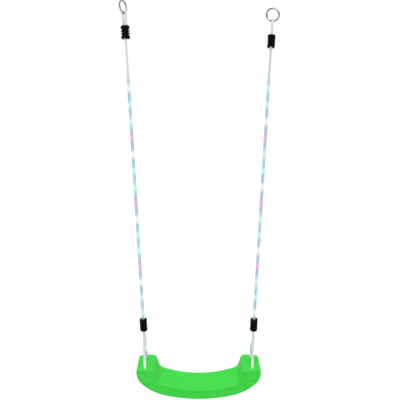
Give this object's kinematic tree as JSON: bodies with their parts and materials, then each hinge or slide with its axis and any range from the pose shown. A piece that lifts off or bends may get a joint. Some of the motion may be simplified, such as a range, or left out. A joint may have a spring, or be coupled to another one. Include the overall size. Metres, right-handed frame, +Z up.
{
  "type": "swing",
  "caption": "Child's board swing: a sagging moulded seat with raised end pads, hung on braided ropes with lights inside, rope adjusters and steel hanging rings.",
  "frame": {"origin": "where the hook bears inside the top of the right-hand hanging ring", "axes": "+Z up along the ropes, +X to the right along the seat, -Y towards the front of the seat"},
  "size_m": [0.5373, 0.18, 1.3685],
  "materials": {
    "green_plastic": "moulded, fine matte grain",
    "ring_steel": "zinc plated",
    "black_plastic": "satin",
    "rope_braid": "braided, translucent white",
    "lights": "clear jacket with lit beads",
    "box_plastic": "satin",
    "screw_steel": "zinc plated",
    "cell_jacket": "printed sleeve",
    "contact_spring": "nickel plated",
    "board": "lacquered",
    "button_red": "soft touch"
  },
  "bodies": {
    "ring_right": {"ring_right": "ring_steel"},
    "ropes": {"rope_right": "rope_braid", "rope_left": "rope_braid", "led_string_right": "lights", "led_string_left": "lights"},
    "ring_left": {"ring_left": "ring_steel"},
    "adjuster_upper_right": {"adjuster_upper_right": "black_plastic"},
    "adjuster_upper_left": {"adjuster_upper_left": "black_plastic"},
    "seat": {"seat": "green_plastic", "adjuster_lower_right": "black_plastic", "adjuster_lower_left": "black_plastic", "seat_rope_right": "rope_braid", "seat_rope_left": "rope_braid", "led_lead_right": "lights", "led_lead_left": "lights", "battery_case": "box_plastic", "battery_lid": "box_plastic", "lid_screws": "screw_steel", "case_screws": "screw_steel", "cells": "cell_jacket", "contacts": "contact_spring", "circuit_board": "board"},
    "power_button": {"power_button": "button_red"}
  },
  "joints": [
    {"name": "swing", "type": "hinge", "parent": "ring_right", "child": "ropes", "pos_m": [-0.00103, 0, -0.03927], "axis": [0.9986, 0, -0.0532], "range_deg": [-45, 45]},
    {"name": "left_ring_turn", "type": "hinge", "parent": "ropes", "child": "ring_left", "pos_m": [-0.49741, 0, -0.01281], "axis": [0.4378, 0.8988, 0.0214], "range_deg": [-92, 108]},
    {"name": "seat_tilt", "type": "hinge", "parent": "ropes", "child": "seat", "pos_m": [-0.24857, 0, -1.07304], "axis": [1, 0, 0], "range_deg": [-25, 25]},
    {"name": "adjuster_slide_right", "type": "slide", "parent": "ropes", "child": "adjuster_upper_right", "axis": [0.0488, 0, 0.9988], "range_m": [0, 0.015]},
    {"name": "adjuster_slide_left", "type": "slide", "parent": "ropes", "child": "adjuster_upper_left", "axis": [-0.0488, 0, 0.9988], "range_m": [0, 0.015]},
    {"name": "button_press", "type": "slide", "parent": "seat", "child": "power_button", "axis": [0, 0, 1], "range_m": [0, 0.001], "stiffness_N_per_m": 400, "springref_m": -0.002}
  ]
}
